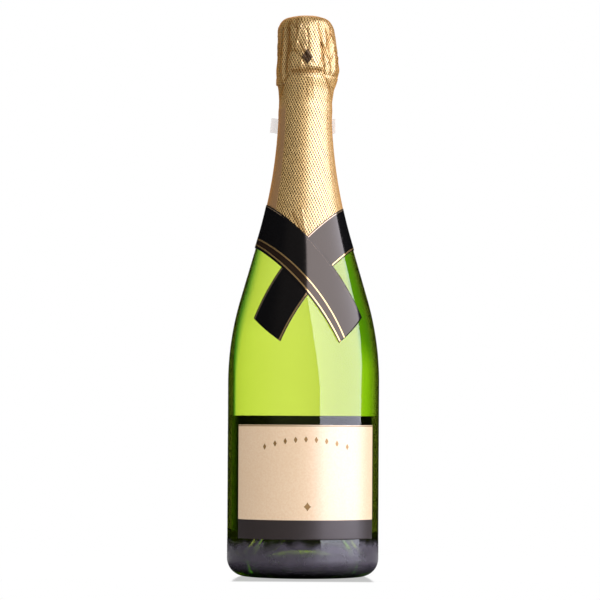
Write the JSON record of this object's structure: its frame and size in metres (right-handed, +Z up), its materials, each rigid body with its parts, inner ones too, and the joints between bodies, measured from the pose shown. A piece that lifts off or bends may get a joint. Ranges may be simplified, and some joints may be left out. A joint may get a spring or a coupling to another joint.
{
  "type": "sparkling wine bottle",
  "caption": "Sealed sparkling wine bottle: punted green glass, wine, mushroom cork, wire hood with metal cap, embossed foil, crossed neck band and body labels.",
  "frame": {"origin": "middle of the standing ring, on the surface that the bottle stands on", "axes": "+Z up along the bottle, front label and crossed band towards -Y, +X to the right seen from the front"},
  "size_m": [0.088, 0.0884, 0.3253],
  "materials": {
    "bottle_glass": "polished",
    "wine": "clear liquid",
    "cork_grain": "matt",
    "cork_disc": "matt",
    "cap_metal": "lacquered",
    "wire": "drawn wire",
    "gold_foil": "embossed satin",
    "clear_tape": "clear",
    "band_paper": "gloss print",
    "front_paper": "matt print",
    "back_paper": "matt print"
  },
  "bodies": {
    "bottle": {"bottle_glass": "bottle_glass", "wine": "wine", "foil_skirt": "gold_foil", "tear_tape": "clear_tape", "band_under": "band_paper", "band_over": "band_paper", "front_label": "front_paper", "back_label": "back_paper"},
    "cork": {"cork_body": "cork_grain", "cork_disc_upper": "cork_disc", "cork_disc_lower": "cork_disc"},
    "hood": {"hood_cap": "cap_metal", "hood_frame": "wire", "hood_belt": "wire"},
    "foil": {"foil_cap": "gold_foil"}
  },
  "joints": [
    {"name": "cork_pull", "type": "slide", "parent": "bottle", "child": "cork", "axis": [0, 0, 1], "range_m": [0, 0.05]},
    {"name": "hood_lift", "type": "slide", "parent": "cork", "child": "hood", "axis": [0, 0, 1], "range_m": [0, 0.045], "deforming": ["hood_frame", "hood_belt"]},
    {"name": "foil_lift", "type": "slide", "parent": "hood", "child": "foil", "axis": [0, 0, 1], "range_m": [0, 0.04]}
  ]
}
